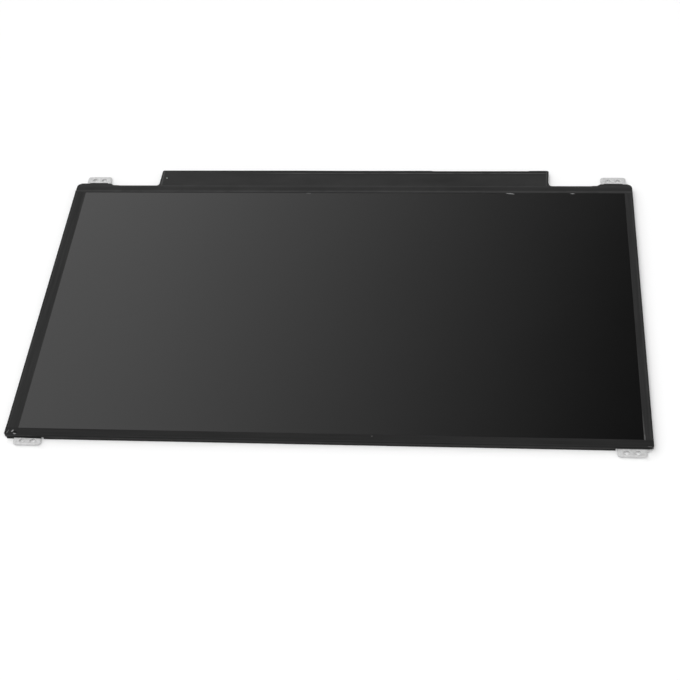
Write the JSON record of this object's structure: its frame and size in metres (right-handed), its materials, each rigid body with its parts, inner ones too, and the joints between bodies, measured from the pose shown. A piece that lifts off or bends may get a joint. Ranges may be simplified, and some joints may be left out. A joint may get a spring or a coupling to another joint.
{
  "type": "laptop screen panel",
  "caption": "Slim bare LCD panel for a laptop lid: taped black rim, dark matt screen, bright steel screw ears and a film-covered driver-board flap along one long edge.",
  "frame": {"origin": "middle of the whole outline, ears and flap included, on the surface that the panel lies on", "axes": "+Z out of the screen, +X along the long side to the right of the screen with the flap at the top, +Y towards the driver-board flap"},
  "size_m": [0.3072, 0.196, 0.003],
  "materials": {
    "screen": "anti-glare polariser film",
    "edge_tape": "matt black film tape",
    "cover_film": "satin black film",
    "frame_plastic": "black moulded plastic",
    "tray_metal": "rolled sheet",
    "bracket_steel": "bright stamped steel",
    "glass": "display glass",
    "clear_acrylic": "clear moulded sheet",
    "white_sheet": "white film",
    "frosted_sheet": "frosted film",
    "dark_film": "polariser film",
    "amber_flex": "amber flex circuit",
    "white_flex": "white-coated flex circuit",
    "led": "moulded LED package",
    "board": "green solder mask",
    "chip": "moulded chip",
    "silicon": "bare silicon",
    "ferrite": "ferrite",
    "capacitor": "tan ceramic with tinned ends",
    "resistor": "black glaze with tinned ends",
    "socket_plastic": "ivory moulding",
    "socket_metal": "tinned sheet",
    "gold": "gold plating"
  },
  "bodies": {
    "root": {"rear_chassis": "tray_metal", "mould_frame": "frame_plastic", "reflector_sheet": "white_sheet", "light_guide": "clear_acrylic", "diffuser_sheet": "frosted_sheet", "lower_prism_sheet": "frosted_sheet", "upper_prism_sheet": "frosted_sheet", "top_diffuser_sheet": "frosted_sheet", "led_flex": "white_flex", "led_packages": "led", "cell_gasket": "edge_tape", "rear_polariser": "dark_film", "array_glass": "glass", "colour_filter_glass": "glass", "front_polariser": "screen", "control_board": "board", "timing_controller": "chip", "power_chip": "chip", "led_driver_chip": "chip", "power_coil": "ferrite", "led_driver_coil": "ferrite", "capacitors": "capacitor", "resistors": "resistor", "video_socket_shell": "socket_metal", "video_socket_housing": "socket_plastic", "video_socket_contacts": "gold", "board_cover_film": "cover_film", "rim_tape_left": "edge_tape", "rim_tape_right": "edge_tape", "rim_tape_near": "edge_tape", "mounting_bracket_near_left": "bracket_steel", "mounting_bracket_near_right": "bracket_steel", "mounting_bracket_far_left": "bracket_steel", "mounting_bracket_far_right": "bracket_steel", "driver_film_1": "amber_flex", "driver_chip_1": "silicon", "driver_film_2": "amber_flex", "driver_chip_2": "silicon", "driver_film_3": "amber_flex", "driver_chip_3": "silicon", "driver_film_4": "amber_flex", "driver_chip_4": "silicon"}
  },
  "joints": []
}
